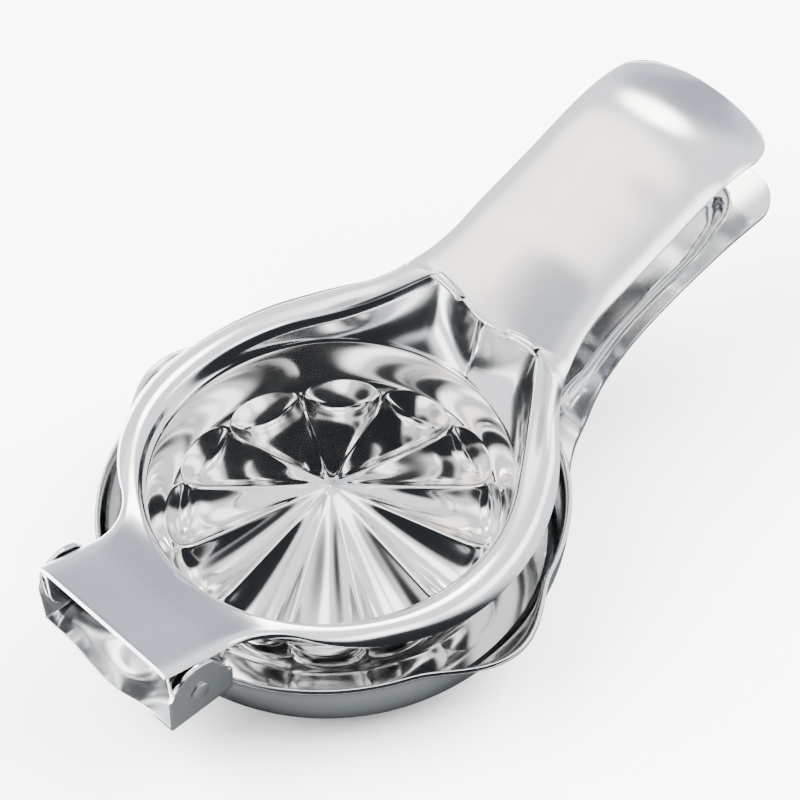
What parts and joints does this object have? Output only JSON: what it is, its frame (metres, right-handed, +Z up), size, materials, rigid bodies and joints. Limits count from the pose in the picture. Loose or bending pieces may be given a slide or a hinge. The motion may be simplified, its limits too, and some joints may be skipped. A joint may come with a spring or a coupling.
{
  "type": "citrus press juicer",
  "caption": "Hand-held citrus press: two hinged polished steel levers, a fluted press dish over a round cup with pouring lips at both sides.",
  "frame": {"origin": "centre of the cup's flat base, on the surface the press stands on", "axes": "+X towards the handle ends, along the press's length; +Z up, out of the cup; +Y to the left seen from the hinge, along the hinge pin"},
  "size_m": [0.1531, 0.0976, 0.0568],
  "materials": {
    "lever_steel": "mirror polished stainless steel sheet",
    "dish_steel": "mirror polished stainless steel, deep drawn",
    "pin_steel": "plain turned steel rivet, satin"
  },
  "bodies": {
    "lower": {"lower_lever": "lever_steel", "reamer_dish": "dish_steel", "hinge_pin": "pin_steel"},
    "upper": {"upper_lever": "lever_steel", "press_dish": "dish_steel"}
  },
  "joints": [
    {"name": "hinge", "type": "hinge", "parent": "lower", "child": "upper", "pos_m": [-0.0471, 0, 0.026], "axis": [0, -1, 0], "range_deg": [0, 95]}
  ]
}
